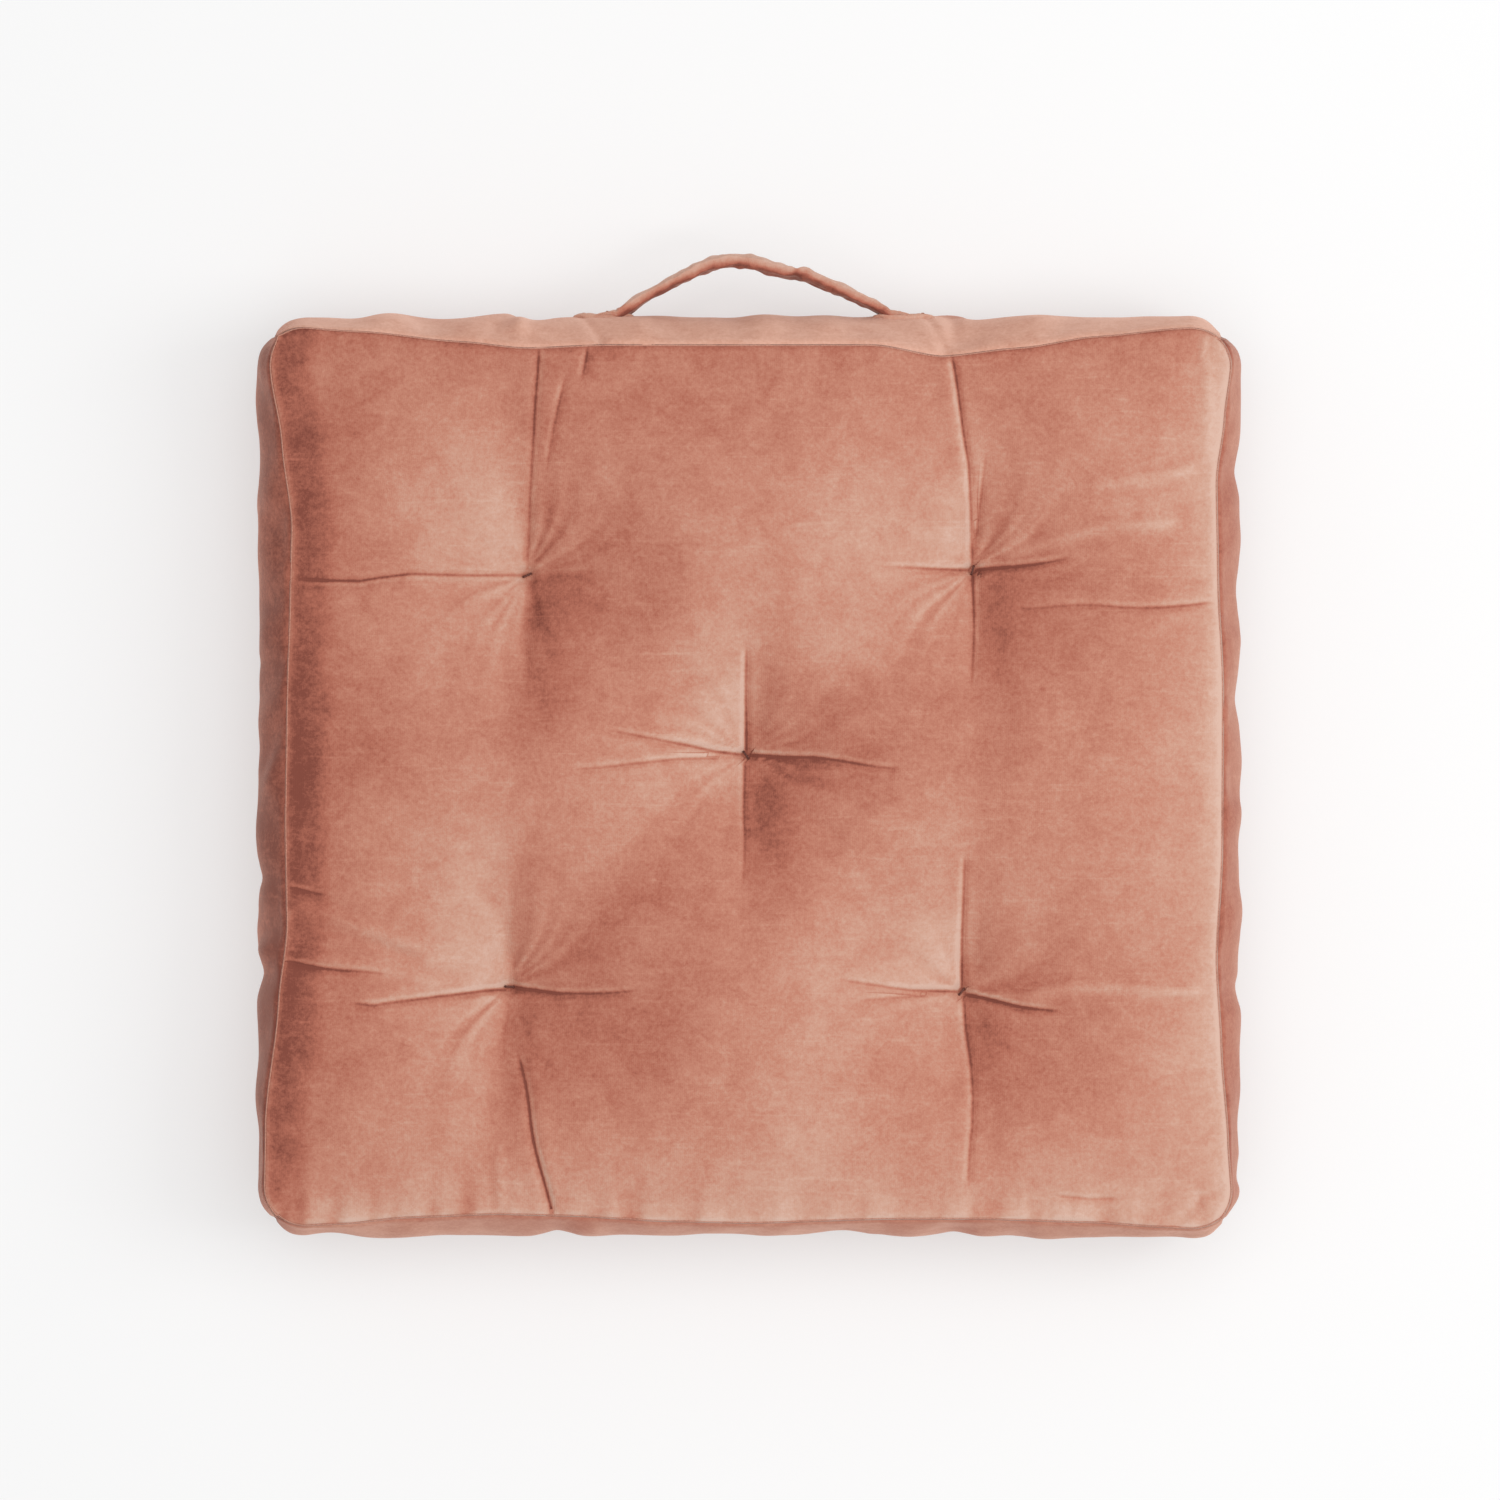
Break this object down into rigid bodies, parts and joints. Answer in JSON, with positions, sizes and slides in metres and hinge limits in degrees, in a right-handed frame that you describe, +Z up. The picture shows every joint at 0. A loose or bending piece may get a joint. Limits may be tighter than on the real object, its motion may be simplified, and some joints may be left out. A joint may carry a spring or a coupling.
{
  "type": "floor cushion",
  "caption": "Square boxed velvet floor cushion with sewn tufts in both faces, mitred side panels and a swinging strap handle on its back side.",
  "frame": {"origin": "on the floor, under the middle of the cushion without its handle", "axes": "+Z up, out of the top face; +Y towards the back side, which has the handle; +X to the right"},
  "size_m": [0.6, 0.5998, 0.13],
  "materials": {
    "velvet": "matte",
    "side_velvet": "matte",
    "handle_velvet": "matte",
    "fibre_filling": "matte",
    "sewing_thread": "matte",
    "tuft_twine": "matte"
  },
  "bodies": {
    "cushion": {"top_panel": "velvet", "bottom_panel": "velvet", "side_panel_back": "side_velvet", "side_panel_front": "side_velvet", "side_panel_left": "side_velvet", "side_panel_right": "side_velvet", "filling": "fibre_filling", "tuft_tie_back_left": "tuft_twine", "tuft_tie_back_right": "tuft_twine", "tuft_tie_centre": "tuft_twine", "tuft_tie_front_left": "tuft_twine", "tuft_tie_front_right": "tuft_twine", "top_seam_thread": "sewing_thread", "bottom_seam_thread": "sewing_thread", "corner_seam_back_left": "sewing_thread", "corner_seam_back_right": "sewing_thread", "corner_seam_front_left": "sewing_thread", "corner_seam_front_right": "sewing_thread", "handle_tab_left": "handle_velvet", "handle_tack_left": "sewing_thread", "handle_tab_right": "handle_velvet", "handle_tack_right": "sewing_thread"},
    "handle": {"handle_strap": "handle_velvet"}
  },
  "joints": [
    {"name": "handle_swing", "type": "hinge", "parent": "cushion", "child": "handle", "pos_m": [0.003, 0.287, 0.0615], "axis": [1, 0, 0], "range_deg": [-80, 80], "stiffness_Nm_per_rad": 0.01}
  ]
}
